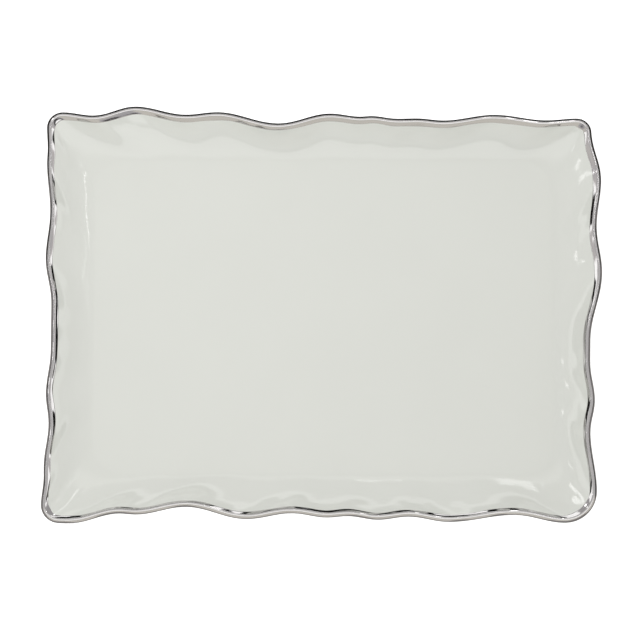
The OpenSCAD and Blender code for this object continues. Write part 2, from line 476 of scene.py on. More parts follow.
    def _rim(self) -> tuple[np.ndarray, np.ndarray]:
        """Draw the rim.

        Returns:
            The rim's outermost line, and the ripple's push at each of its stations.
        """
        lines = np.array(self.trough_lines)
        starts = lines + self.ripple_depth * np.array([side.value[0][1] for side in Side])
        ends = lines + self.ripple_depth * np.array([side.value[-1][1] for side in Side])
        rim = self._outline(
            starts,
            ends,
            self.rim_corner_r,
            lambda side, share: lines[side.number] + self.ripple_depth * side.push_at(share),
        )
        pushes = []
        for side in Side:
            after = list(Side)[(side.number + 1) % 4]
            first, last = side.value[0][1], side.value[-1][1]
            for stretch, share in self._walk(side):
                if stretch == "first":
                    pushes.append(side.before.value[-1][1] * (0.5 - share / 2) + first * (0.5 + share / 2))
                elif stretch == "last":
                    pushes.append(last * (1 - share / 2) + after.value[0][1] * share / 2)
                else:
                    pushes.append(side.push_at(share))
        return rim, np.array(pushes)

    def floor_line(self, inset: float) -> np.ndarray:
        """The edge of the flat floor, drawn in by an inset."""
        lines = [line - inset for line in self.floor_lines]
        radii = [self.floor_corner_r - inset] * 4
        return self._outline(lines, lines, radii, lambda side, share: lines[side.number])

    def rounded_rectangle(self, half: np.ndarray, radius: float) -> np.ndarray:
        """A rounded rectangle about the origin, with the platter's stations."""
        lines = [half[1], half[0], half[1], half[0]]
        return self._outline(lines, lines, [radius] * 4, lambda side, share: lines[side.number])

    def under_floor(self, outline: np.ndarray) -> np.ndarray:
        """An outline laid on the underside of the floor."""
        return np.column_stack([outline, np.full(len(outline), self.foot_height)])

    # ---- the section

    @property
    def floor_mid(self) -> float:
        """Height of the middle of the floor's thickness."""
        return self.foot_height + self.floor_t / 2

    @property
    def wall_rise(self) -> float:
        """Climb of the wall's middle line, from the floor's middle to the lip's centre."""
        return self.height - (self.lip_t / 2 + self.glaze_t + self.band_t) - self.floor_mid

    @property
    def mid_run(self) -> float:
        """Mean run of the wall's middle line."""
        return self.wall_run - (self.lip_t / 2 + self.glaze_t + self.band_t)

    @property
    def full_climb(self) -> float:
        """What the climb comes to at the lip before it is brought to 1."""
        soft = self.soft_start
        return (1 + soft**2) ** (self.wall_power / 2) - soft**self.wall_power

    def climb(self, share: Share) -> Share:
        """How far up the wall's middle line has climbed, from 0 to 1, with a soft start."""
        soft = self.soft_start
        return ((share**2 + soft**2) ** (self.wall_power / 2) - soft**self.wall_power) / self.full_climb

    def slope(self, share: Share) -> Share:
        """The wall's slope in radians at a share of the way up."""
        soft = self.soft_start
        rate = self.wall_power * share * (share**2 + soft**2) ** (self.wall_power / 2 - 1) / self.full_climb
        return np.arctan(rate * self.wall_rise / self.mid_run)

    def ring(self, share: Share, out: Share, up: Share) -> np.ndarray:
        """A ring of points a share of the way up the wall's middle line, moved outwards and upwards.

        Args:
            share: From 0 at the floor's edge to 1 at the lip's centre, for all stations or for each.
            out: Millimetres outwards, for all stations or for each.
            up: Millimetres upwards, for all stations or for each.

        Returns:
            One row of x, y and z in millimetres for each station.
        """
        way = np.reshape(share, (-1, 1))
        line = moved_out(self.floor + (self.lip_centres - self.floor) * way, out)
        rise = self.wall_rise - self.rim_dip * self.pushes
        heights = self.floor_mid + self.climb(share) * rise + self.dimples(share) + up
        return np.column_stack([line, heights])

    def dimples(self, share: Share) -> np.ndarray:
        """How far the maker's fingers pressed the wall in or out below the lip.

        Args:
            share: From 0 at the floor's edge to 1 at the lip's centre, for all stations or for each.

        Returns:
            Millimetres upwards for each station.
        """
        turn = 2 * math.pi * np.arange(len(self.rim)) / len(self.rim)
        pressed = sum(size * np.sin(count * turn + phase) for count, size, phase in self.dimple_waves)
        fade = ((share - self.dimple_middle) / self.dimple_spread) ** 2
        return self.dimple_depth * np.exp(-fade) * pressed

    def wall_ring(self, share: Share, side: int, coat: float) -> np.ndarray:
        """A ring on the wall's face or its underside.

        Args:
            share: From 0 at the floor's edge to 1 at the lip's centre, for all stations or for each.
            side: 1 for the face, -1 for the underside.
            coat: How proud the ring is of the clay.

        Returns:
            One row of x, y and z in millimetres for each station.
        """
        reach = side * ((self.floor_t + (self.lip_t - self.floor_t) * share) / 2 + coat)
        slope = self.slope(share)
        return self.ring(share, -reach * np.sin(slope), reach * np.cos(slope))

    def lip_ring(self, degrees: float, edge: int, coat: float) -> np.ndarray:
        """A ring round the lip, whose end is flattened between two softened edges.

        Args:
            degrees: The way that the surface faces: 90 is up and 0 is outwards.
            edge: 1 for the edge next to the face, -1 for the one next to the underside.
            coat: How proud the ring is of the clay.

        Returns:
            One row of x, y and z in millimetres for each station.
        """
        slope, angle = self.slope(1.0), math.radians(degrees)
        ahead, aside = self.lip_reach, edge * (self.lip_t / 2 - self.lip_edge_r)
        reach = self.lip_edge_r + coat
        out = ahead * math.cos(slope) - aside * math.sin(slope) + reach * math.cos(angle)
        up = ahead * math.sin(slope) + aside * math.cos(slope) + reach * math.sin(angle)
        return self.ring(1.0, out, up)

    def lip_rings(self, start: float, end: float, coat: float) -> list[np.ndarray]:
        """The rings round the lip from one facing down to another, past its end if it lies between.

        Args:
            start: The facing of the first ring, in degrees above outwards.
            end: The facing of the last ring.
            coat: How proud the rings are of the clay.

        Returns:
            The rings, from the first down to the last.
        """
        flat = math.degrees(self.slope(1.0))
        rings = []
        for edge, high, low in ((1, start, max(end, flat)), (-1, min(start, flat), end)):
            count = round((high - low) / self.lip_turn)
            if count > 0:
                facings = [high + (low - high) * i / count for i in range(count + 1)]
                rings += [self.lip_ring(facing, edge, coat) for facing in facings]
        return rings

    @property
    def face_tangent(self) -> float:
        """The lip's angle in degrees where the face of the wall runs into it."""
        return 90 + math.degrees(self.slope(1.0))

    @property
    def back_tangent(self) -> float:
        """The lip's angle in degrees where the underside of the wall runs into it."""
        return math.degrees(self.slope(1.0)) - 90


# ------------------------------------------------------------------------------ ring by ring modelling


@dataclass
class RingSheet:
    """A sheet that is drawn out ring by ring, in edit mode, from its first loop of edges.

    Every vertex keeps its station's number, which extruding copies to the new loop, so that each
    new loop can be laid on the next ring of the shape.
    """

    name: str
    stations: int
    piece: bpy.types.Object | None = None
    travel: float = 0.0
    last_ring: np.ndarray | None = None

    STATION = "station"
    POOL = "pool"
    TRAVEL = "travel"

    def start_loop(self, ring: np.ndarray, pool: float = 0.0) -> None:
        """Start from a circle with a vertex for each station, laid on the first ring.

        Args:
            ring: The first ring, in millimetres.
            pool: How much the glaze pools there.
        """
        start_alone()
        bpy.ops.mesh.primitive_circle_add(vertices=self.stations, radius=1, fill_type="NOTHING")
        self._adopt()
        mesh = self._edit()
        mesh.verts.ensure_lookup_table()
        self._number(mesh, list(mesh.verts))
        self._lay(mesh, ring, pool)

    def start_grid(self, cells: tuple[int, int], ring: np.ndarray, pool: float = 0.0) -> None:
        """Start from a flat grid whose edge is laid on the first ring, and whose inside follows it.

        Args:
            cells: How many cells the grid has along x and along y.
            ring: The first ring, in millimetres.
            pool: How much the glaze pools there.
        """
        start_alone()
        across, deep = cells
        bpy.ops.mesh.primitive_grid_add(x_subdivisions=across, y_subdivisions=deep, size=1)
        self._adopt()
        mesh = self._edit()
        mesh.verts.ensure_lookup_table()
        rows = sorted(mesh.verts, key=lambda v: (round(v.co.y, 6), round(v.co.x, 6)))
        grid = [rows[j * (across + 1) : (j + 1) * (across + 1)] for j in range(deep + 1)]
        edge = [grid[0][i] for i in range(across)]
        edge += [grid[j][across] for j in range(deep)]
        edge += [grid[deep][i] for i in range(across, 0, -1)]
        edge += [grid[j][0] for j in range(deep, 0, -1)]
        self._number(mesh, edge)
        front = ring[: across + 1]
        right = ring[across : across + deep + 1]
        back = ring[across + deep : 2 * across + deep + 1][::-1]
        left = np.vstack([ring[2 * across + deep :], ring[:1]])[::-1]
        for j in range(1, deep):
            v = j / deep
            for i in range(1, across):
                u = i / across
                sides = (1 - v) * front[i] + v * back[i] + (1 - u) * left[j] + u * right[j]
                near = (1 - u) * ring[0] + u * right[0]
                far = (1 - u) * left[deep] + u * back[across]
                grid[j][i].co = (sides - (1 - v) * near - v * far) * MM
        self._lay(mesh, ring, pool)

    def draw_to(self, ring: np.ndarray, pool: float = 0.0) -> None:
        """Extrude the last loop and lay the new one on a ring.

        Args:
            ring: The ring, in millimetres.
            pool: How much the glaze pools there.
        """
        bpy.ops.mesh.extrude_region()
        mesh = self._edit()
        self.travel += float(np.mean(np.linalg.norm(ring - self.last_ring, axis=1)))
        self._lay(mesh, ring, pool)

    def close_loop(self) -> None:
        """Fill the last loop with one flat face."""
        bpy.ops.mesh.edge_face_add()

    def join_ends(self) -> None:
        """Bridge the two open loops, so that the sheet closes on itself."""
        bpy.ops.mesh.select_all(action="DESELECT")
        bpy.ops.mesh.select_non_manifold(extend=False, use_wire=False, use_boundary=True)
        bpy.ops.mesh.bridge_edge_loops()

    def finish(self) -> bpy.types.Object:
        """Point the faces outwards, map the sheet along and across, and leave edit mode.

        Returns:
            The finished piece.
        """
        bpy.ops.mesh.select_all(action="SELECT")
        bpy.ops.mesh.normals_make_consistent(inside=False)
        mesh = self._edit()
        self._map(mesh)
        bmesh.update_edit_mesh(self.piece.data)
        bpy.ops.object.mode_set(mode="OBJECT")
        bpy.ops.object.shade_smooth()
        return self.piece

    # ---- inner workings

    def _adopt(self) -> None:
        """Name the new primitive and open it in edit mode, with the layers that a sheet keeps."""
        self.piece = bpy.context.object
        self.piece.name = self.name
        self.piece.data.name = self.name
        bpy.ops.object.mode_set(mode="EDIT")
        bpy.ops.mesh.select_mode(type="VERT")
        mesh = self._edit()
        mesh.verts.layers.int.new(self.STATION)
        mesh.verts.layers.float.new(self.POOL)
        mesh.verts.layers.float.new(self.TRAVEL)

    def _edit(self) -> bmesh.types.BMesh:
        """The mesh that is being edited."""
        return bmesh.from_edit_mesh(self.piece.data)

    def _number(self, mesh: bmesh.types.BMesh, loop: Sequence[bmesh.types.BMVert]) -> None:
        """Number the stations of the first loop, and select it alone.

        Args:
            mesh: The mesh that is being edited.
            loop: The vertices of the loop, in the order of the stations.
        """
        station = mesh.verts.layers.int[self.STATION]
        for vertex in mesh.verts:
            vertex[station] = -1
            vertex.select = False
        for edge in mesh.edges:
            edge.select = False
        for face in mesh.faces:
            face.select = False
        for i, vertex in enumerate(loop):
            vertex[station] = i
            vertex.select = True
        mesh.select_flush(True)

    def _lay(self, mesh: bmesh.types.BMesh, ring: np.ndarray, pool: float) -> None:
        """Lay the selected loop on a ring.

        Args:
            mesh: The mesh that is being edited.
            ring: The ring, in millimetres.
            pool: How much the glaze pools there.
        """
        layers = mesh.verts.layers
        station, pooled = layers.int[self.STATION], layers.float[self.POOL]
        travelled = layers.float[self.TRAVEL]
        for vertex in mesh.verts:
            if vertex.select:
                vertex.co = ring[vertex[station]] * MM
                vertex[pooled] = pool
                vertex[travelled] = self.travel * MM
        self.last_ring = ring
        bmesh.update_edit_mesh(self.piece.data)

    def _map(self, mesh: bmesh.types.BMesh) -> None:
        """Give the sheet a UV map in metres: u runs along the rim and v across it.

        Args:
            mesh: The mesh that is being edited.
        """
        uv = mesh.loops.layers.uv.verify()
        station = mesh.verts.layers.int[self.STATION]
        travelled = mesh.verts.layers.float[self.TRAVEL]
        steps = np.linalg.norm(np.roll(self.last_ring, -1, axis=0) - self.last_ring, axis=1)
        along = np.concatenate([[0], np.cumsum(steps)]) * MM
        for face in mesh.faces:
            numbers = [loop.vert[station] for loop in face.loops]
            wraps = max(numbers) - min(numbers) > self.stations // 2
            for loop, number in zip(face.loops, numbers):
                if number < 0:
                    loop[uv].uv = (0, 0)
                    continue
                place = self.stations if wraps and number == 0 else number
                loop[uv].uv = (along[place], loop.vert[travelled])


def apply_modifier(piece: bpy.types.Object, kind: str, **settings) -> None:
    """Add a modifier to a piece and apply it.

    Args:
        piece: The piece.
        kind: The modifier's type, such as SOLIDIFY.
        **settings: The modifier's settings by name.
    """
    start_alone()
    bpy.context.view_layer.objects.active = piece
    piece.select_set(True)
    modifier = piece.modifiers.new(kind.title(), kind)
    for name, value in settings.items():
        setattr(modifier, name, value)
    bpy.ops.object.modifier_apply(modifier=modifier.name)


def smooth_out(piece: bpy.types.Object) -> None:
    """Subdivide a piece once to a smooth surface."""
    apply_modifier(piece, "SUBSURF", levels=1, render_levels=1, boundary_smooth="PRESERVE_CORNERS")


def thicken(piece: bpy.types.Object, thickness_mm: float, point: np.ndarray | None) -> bpy.types.Object:
    """Turn an open sheet's faces outwards, give it its thickness and smooth it.

    Args:
        piece: The sheet.
        thickness_mm: Its thickness.
        point: A point that the faces look away from, or None for a sheet that curls round a rim.

    Returns:
        The sheet.
    """
    face_away_from(piece, point)
    apply_modifier(piece, "SOLIDIFY", thickness=thickness_mm * MM, offset=1)
    smooth_out(piece)
    return piece


# ------------------------------------------------------------------------------ finishes


@dataclass(frozen=True)
class PorcelainGlaze:
    """Feldspathic gloss glaze on white porcelain, dipped and fired.

    It gives the eye a warm white under a hard wet gloss, a little greener where it pools at the
    foot of the wall, with the faint orange peel and the rare pinholes of a fired coat.
    """

    body: str = "#dddfd9"
    cloud: str = "#dadcd6"
    pooled: str = "#dadcd6"
    roughness: float = 0.07
    ior: float = 1.5
    cloud_mm: float = 70.0
    peel_mm: float = 5.0
    peel_depth_mm: float = 0.006
    pinhole_mm: float = 14.0
    pinhole_share: float = 0.025
    pinhole_depth_mm: float = 0.1
    pinhole_strength: float = 0.5

    def material(self) -> bpy.types.Material:
        """Build the glaze.

        Returns:
            The material.
        """
        material = new_material("porcelain_gloss_glaze")
        tree = material.node_tree
        place = add_node(tree, "ShaderNodeTexCoord").outputs["Object"]
        tint = mix_colours(tree, noise(tree, place, per_mm(self.cloud_mm), 3.0), self.body, self.cloud)
        pool = add_node(tree, "ShaderNodeAttribute", {"attribute_name": RingSheet.POOL}).outputs["Fac"]
        peel = relief(tree, noise(tree, place, per_mm(self.peel_mm), 1.0), self.peel_depth_mm)
        pits = fit_range(tree, spots(tree, place, self.pinhole_mm), 0.0, self.pinhole_share)
        pitted = relief(tree, pits, self.pinhole_depth_mm, peel, self.pinhole_strength)
        surface(
            tree,
            {"Roughness": self.roughness, "IOR": self.ior},
            {"Base Color": mix_colours(tree, pool, tint, self.pooled), "Normal": pitted},
        )
        return material


@dataclass(frozen=True)
class PlatinumLustre:
    """Liquid bright platinum, brushed on over the glaze by hand and fired.

    It gives the eye a warm grey mirror with faint streaks along the rim, where the brush ran, and a
    slow waver that breaks up what it mirrors.
    """

    metal: str = "#d0cfce"
    streak: str = "#c3c1c0"
    roughness: float = 0.045
    streak_roughness: float = 0.14
    streak_length_mm: float = 30.0
    streak_width_mm: float = 0.5
    streak_depth_mm: float = 0.002
    streak_range: tuple[float, float] = (0.35, 0.75)
    waver_length_mm: float = 16.0
    waver_width_mm: float = 7.0
    waver_depth_mm: float = 0.6

    def material(self) -> bpy.types.Material:
        """Build the lustre.

        Returns:
            The material.
        """
        material = new_material("platinum_lustre")
        tree = material.node_tree
        rim_map = add_node(tree, "ShaderNodeUVMap").outputs["UV"]
        drawn = drawn_along(tree, rim_map, self.streak_length_mm, self.streak_width_mm)
        streaks = noise(tree, drawn, 1.0, 2.0)
        rough = fit_range(tree, streaks, *self.streak_range, self.roughness, self.streak_roughness)
        brushed = relief(tree, streaks, self.streak_depth_mm)
        laid = drawn_along(tree, rim_map, self.waver_length_mm, self.waver_width_mm)
        wavering = relief(tree, noise(tree, laid, 1.0, 0.0), self.waver_depth_mm, brushed)
        surface(
            tree,
            {"Metallic": 1.0},
            {
                "Base Color": mix_colours(tree, streaks, self.metal, self.streak),
                "Roughness": rough,
                "Normal": wavering,
            },
        )
        return material


@dataclass(frozen=True)
class BiscuitPorcelain:
    """Bare fired porcelain, pressed, luted and sponged, as it shows where the glaze is wiped off.

    It gives the eye a dry, matt, creamy white with a fine grain and a few iron specks.
    """

    clay: str = "#e2dccf"
    shade: str = "#d6cfc0"
    speck: str = "#8d8374"
    roughness: float = 0.75
    grain_mm: float = 0.5
    grain_depth_mm: float = 0.03
    smudge_mm: float = 12.0
    speck_mm: float = 9.0
    speck_share: tuple[float, float] = (0.03, 0.05)

    def material(self) -> bpy.types.Material:
        """Build the biscuit.

        Returns:
            The material.
        """
        material = new_material("biscuit_porcelain")
        tree = material.node_tree
        place = add_node(tree, "ShaderNodeTexCoord").outputs["Object"]
        tint = mix_colours(tree, noise(tree, place, per_mm(self.smudge_mm), 4.0), self.clay, self.shade)
        dots = fit_range(tree, spots(tree, place, self.speck_mm), *self.speck_share, 1.0, 0.0)
        grain = noise(tree, place, per_mm(self.grain_mm), 2.0)
        surface(
            tree,
            {"Roughness": self.roughness},
            {
                "Base Color": mix_colours(tree, dots, tint, self.speck),
                "Normal": relief(tree, grain, self.grain_depth_mm),
            },
        )
        return material


# ------------------------------------------------------------------------------ the pieces


@dataclass
class PorcelainBody:
    """The one press-moulded body: flat floor, curved wall and rippled full-round lip."""

    shape: PlatterShape
    wall_strips: int = 9
    floor_step: float = 2.0

    def build(self) -> bpy.types.Object:
        """Draw the body from its floor, up the face, over the lip and back under the wall.

        Returns:
            The piece.
        """
        shape = self.shape
        sheet = RingSheet("porcelain_body_clay", len(shape.rim))
        sheet.start_grid(shape.cells, shape.wall_ring(0, 1, 0))
        for i in range(1, self.wall_strips):
            sheet.draw_to(shape.wall_ring(i / self.wall_strips, 1, 0))
        for ring in shape.lip_rings(shape.face_tangent, shape.back_tangent, 0):
            sheet.draw_to(ring)
        for i in range(self.wall_strips - 1, -1, -1):
            sheet.draw_to(shape.wall_ring(i / self.wall_strips, -1, 0))
        for inset in (self.floor_step, shape.foot_inset):
            sheet.draw_to(shape.under_floor(shape.floor_line(inset)))
        sheet.close_loop()
        return sheet.finish()

    def dress(self, piece: bpy.types.Object, clay: bpy.types.Material) -> None:
        """Give the body its biscuit and its place in the frame."""
        settle(piece, "biscuit", clay, "porcelain_body")


@dataclass
class WellGlaze:
    """The glaze over the floor and the face of the wall, up to the crest of the lip.

    It pools most at pool_middle of the way up the wall, and fades over pool_spread.
    """

    shape: PlatterShape
    wall_strips: int = 15
    floor_pool: float = 0.1
    pool_middle: float = 0.12
    pool_spread: float = 0.2

    def build(self) -> bpy.types.Object:
        """Draw the coat over the clay and give it its thickness.

        Returns:
            The piece.
        """
        shape = self.shape
        sheet = RingSheet("well_glaze_coat", len(shape.rim))
        sheet.start_grid(shape.cells, shape.wall_ring(0, 1, 0), self.floor_pool)
        for i in range(1, self.wall_strips):
            share = i / self.wall_strips
            pool = math.exp(-(((share - self.pool_middle) / self.pool_spread) ** 2))
            sheet.draw_to(shape.wall_ring(share, 1, 0), pool)
        for ring in shape.lip_rings(shape.face_tangent, 90, 0):
            sheet.draw_to(ring)
        return thicken(sheet.finish(), shape.glaze_t, FAR_BELOW)

    def dress(self, piece: bpy.types.Object, glaze: bpy.types.Material) -> None:
        """Give the coat its gloss and its place in the frame."""
        settle(piece, "glaze", glaze, "well_glaze")


@dataclass
class UndersideGlaze:
    """The glaze from the crest of the lip, under the wall and in to the dry line at the foot.

    It pools under the wall as it does on the face, but half as much.
    """

    shape: PlatterShape
    wall_strips: int = 12
    floor_step: float = 3.0
    floor_pool: float = 0.3
    pool_middle: float = 0.1
    pool_spread: float = 0.2
    pool_size: float = 0.5

    def build(self) -> bpy.types.Object:
        """Draw the coat under the wall and give it its thickness.

        Returns:
            The piece.
        """
        shape = self.shape
        sheet = RingSheet("underside_glaze_coat", len(shape.rim))
        first, *others = shape.lip_rings(90, shape.back_tangent, 0)
        sheet.start_loop(first)
        for ring in others:
            sheet.draw_to(ring)
        for i in range(self.wall_strips - 1, -1, -1):
            share = i / self.wall_strips
            pool = self.pool_size * math.exp(-(((share - self.pool_middle) / self.pool_spread) ** 2))
            sheet.draw_to(shape.wall_ring(share, -1, 0), pool)
        for inset in (self.floor_step, shape.foot_inset - shape.dry_gap):
            sheet.draw_to(shape.under_floor(shape.floor_line(inset)), self.floor_pool)
        return thicken(sheet.finish(), shape.glaze_t, FAR_ABOVE)

    def dress(self, piece: bpy.types.Object, glaze: bpy.types.Material) -> None:
        """Give the coat its gloss and its place in the frame."""
        settle(piece, "glaze", glaze, "underside_glaze")


@dataclass
class BaseGlaze:
    """The glaze inside the foot rings: a frame round the centre ring and a patch within it."""

    shape: PlatterShape
    edge_step: float = 3.0
    edge_pool: float = 0.3
    middle_pool: float = 0.2

    def build(self) -> list[bpy.types.Object]:
        """Draw the frame and the patch, each as a thin slab under the floor.

        Returns:
            The frame and the patch.
        """
        shape, step, gap = self.shape, self.edge_step, self.shape.dry_gap
        inner = shape.foot_width + gap
        outer_r = shape.floor_corner_r - shape.foot_inset - inner
        patch_r = shape.centre_ring_r - inner
        frame = RingSheet("base_glaze_frame", len(shape.rim))
        first, *others = (
            self._outline(half, radius)
            for half, radius in (
                (shape.foot_half - inner, outer_r),
                (shape.foot_half - inner - step, outer_r),
                (shape.centre_half + gap + step, shape.centre_ring_r + step),
                (shape.centre_half + gap, shape.centre_ring_r + gap),
            )
        )
        frame.start_loop(first, self.edge_pool)
        for ring in others:
            frame.draw_to(ring, self.middle_pool)
        pieces = [thicken(frame.finish(), shape.glaze_t, FAR_ABOVE)]
        patch = RingSheet("base_glaze_patch", len(shape.rim))
        start = self._outline(shape.centre_half - inner - step, patch_r)
        patch.start_grid(shape.cells, start, self.middle_pool)
        patch.draw_to(self._outline(shape.centre_half - inner, patch_r), self.edge_pool)
        pieces.append(thicken(patch.finish(), shape.glaze_t, FAR_ABOVE))
        return pieces

    def _outline(self, half: np.ndarray, radius: float) -> np.ndarray:
        """A rounded rectangle on the underside of the floor."""
        return self.shape.under_floor(self.shape.rounded_rectangle(half, radius))

    def dress(self, pieces: Sequence[bpy.types.Object], glaze: bpy.types.Material) -> None:
        """Give the slabs their gloss and their place in the frame."""
        for piece in pieces:
            settle(piece, "glaze", glaze, "base_glaze")


@dataclass
class RimBand:
    """The platinum band over the lip, with hand-painted edges that wander along the rim.

    Its width on the face is given for each side, from the front anticlockwise.
    """

    shape: PlatterShape
    face_widths: tuple[float, float, float, float] = (2.2, 3.0, 3.4, 2.4)
    back_width: float = 2.0
    wander: float = 0.3
    wander_waves: tuple[tuple[int, float], ...] = ((23, 0.8), (41, 0.6), (67, 0.5), (9, 0.6))
    face_phase: float = 0.7
    back_phase: float = 1.3
    blend_reach: int = 7

    def build(self) -> bpy.types.Object:
        """Draw the band over the glaze and give it its thickness.

        Returns:
            The piece.
        """
        shape = self.shape
        coat = shape.glaze_t
        sheet = RingSheet("rim_band_platinum", len(shape.rim))
        flat = math.cos(shape.slope(1.0)) / shape.mid_run
        face_edge = 1 - self._face_width() * flat
        back_edge = 1 - (self.back_width + self._wander(self.back_phase)) * flat
        sheet.start_loop(shape.wall_ring(face_edge, 1, coat))
        for way in (0.3, 0.65):
            sheet.draw_to(shape.wall_ring(face_edge + (1 - face_edge) * way, 1, coat))
        for ring in shape.lip_rings(shape.face_tangent, shape.back_tangent, coat):
            sheet.draw_to(ring)
        sheet.draw_to(shape.wall_ring((1 + back_edge) / 2, -1, coat))
        sheet.draw_to(shape.wall_ring(back_edge, -1, coat))
        return thicken(sheet.finish(), shape.band_t, None)

    def _wander(self, phase: float) -> np.ndarray:
        """How far a brushed edge strays.

        Args:
            phase: Tells one edge from another.

        Returns:
            Millimetres outwards from the edge's own line for each station.
        """
        turn = 2 * math.pi * np.arange(len(self.shape.rim)) / len(self.shape.rim)
        return self.wander * sum(size * np.sin(count * (turn + phase)) for count, size in self.wander_waves)

    def _face_width(self) -> np.ndarray:
        """Blend the band's width on the face from side to side.

        Returns:
            The width at each station, in millimetres.
        """
        cells, reach = self.shape.cells, self.blend_reach
        widths = np.concatenate([np.full(cells[k % 2], self.face_widths[k], float) for k in range(4)])
        spread = [np.roll(widths, i) for i in range(-reach, reach + 1)]
        return np.mean(spread, axis=0) + self._wander(self.face_phase)

    def dress(self, piece: bpy.types.Object, platinum: bpy.types.Material) -> None:
        """Give the band its lustre and its place in the frame."""
        settle(piece, "platinum", platinum, "rim_band")


@dataclass
class FootRing:
    """A luted foot ring, with rounded bottom edges and softened top ones where it joins the floor."""

    shape: PlatterShape
    name: str
    node: str
    half: np.ndarray
    radius: float
    edge_r: float = 1.2
    slip_r: float = 0.3
    slip_gap: float = 0.02

    def build(self) -> bpy.types.Object:
        """Draw the ring's section round its rounded rectangle and close it on itself.

        Returns:
            The piece.
        """
        shape = self.shape
        sheet = RingSheet(self.name, len(shape.rim))
        points = self._section()
        rings = [self._ring(inset, height) for inset, height in points]
        sheet.start_loop(rings[0])
        for ring in rings[1:]:
            sheet.draw_to(ring)
        sheet.join_ends()
        piece = sheet.finish()
        smooth_out(piece)
        return piece

    def _section(self) -> list[tuple[float, float]]:
        """Draw the section, from the outer top round to the inner.

        Returns:
            Pairs of an inset from the outside and a height.
        """
        width, r, slip = self.shape.foot_width, self.edge_r, self.slip_r
        top = self.shape.foot_height - self.slip_gap
        turns = [math.radians(a) for a in (0, 22.5, 45, 67.5, 90)]
        outer = [(slip, top), (0.0, top - slip), (0.0, (top + r) / 2)]
        outer += [(r - r * math.cos(a), r - r * math.sin(a)) for a in turns]
        inner = [(width - inset, up) for inset, up in reversed(outer)]
        return [*outer, (width / 2, 0.0), *inner]

    def _ring(self, inset: float, height: float) -> np.ndarray:
        """A ring of the foot at an inset from its outside and a height above the table."""
        outline = self.shape.rounded_rectangle(self.half - inset, self.radius - inset)
        return np.column_stack([outline, np.full(len(outline), height)])

    def dress(self, piece: bpy.types.Object, clay: bpy.types.Material) -> None:
        """Give the ring its biscuit and its place in the frame."""
        settle(piece, "biscuit", clay, self.node)


def face_away_from(piece: bpy.types.Object, point: np.ndarray | None) -> None:
    """Turn an open sheet's faces outwards.

    Args:
        piece: The sheet.
        point: A point that the faces look away from, or None where the sheet curls round a rim
            and its highest faces look up.
    """
    mesh = piece.data
    faces = sorted(mesh.polygons, key=lambda face: -face.center.z)
    if point is None:
        top = faces[: len(faces) // 20]
        wrong = sum(face.normal.z for face in top) < 0
    else:
        wrong = sum((np.array(face.center) - point) @ np.array(face.normal) for face in faces) < 0
    if wrong:
        mesh.flip_normals()


def settle(piece: bpy.types.Object, slot: str, material: bpy.types.Material, *nodes: str) -> None:
    """Give a finished piece its material and its place in the frame.

    Args:
        piece: The piece.
        slot: The record's material slot that it stands for. It is not used.
        material: Its finish.
        *nodes: The CAD nodes that it stands for.
    """
    piece.data.materials.clear()
    piece.data.materials.append(material)
    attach(piece, BODY)
    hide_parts(*nodes)
    LOG.info("%s: %d faces", piece.name, len(piece.data.polygons))


# ------------------------------------------------------------------------------ the studio


@dataclass
class Softbox:
    """A rectangular softbox that faces the middle of the platter.

    Azimuth 0 is at the front and turns anticlockwise, seen from above. Angles are in degrees and
    sizes in metres. The brightness is the radiance, and doesn't change with the size. A softbox may
    lean to one side, and may light the platter without being mirrored in it.
    """

    name: str
    azimuth: float
    elevation: float
    distance: float
    size: tuple[float, float]
    brightness: float
    lean: float = 0.0
    mirrored: bool = True

    def build(self) -> None:
        """Place the light and point it."""
        turn, rise = math.radians(self.azimuth), math.radians(self.elevation)
        level = math.cos(rise)
        spot = np.array([math.sin(turn) * level, -math.cos(turn) * level, math.sin(rise)])
        bpy.ops.object.light_add(type="AREA", location=tuple(spot * self.distance))
        lamp = bpy.context.object
        lamp.name = self.name
        lamp.data.shape = "RECTANGLE"
        lamp.data.size, lamp.data.size_y = self.size
        lamp.data.energy = self.brightness * math.pi * self.size[0] * self.size[1]
        lamp.rotation_euler = (math.pi / 2 - rise, 0, turn)
        lamp.rotation_euler.rotate_axis("Z", -math.radians(self.lean))
        lamp.visible_glossy = self.mirrored


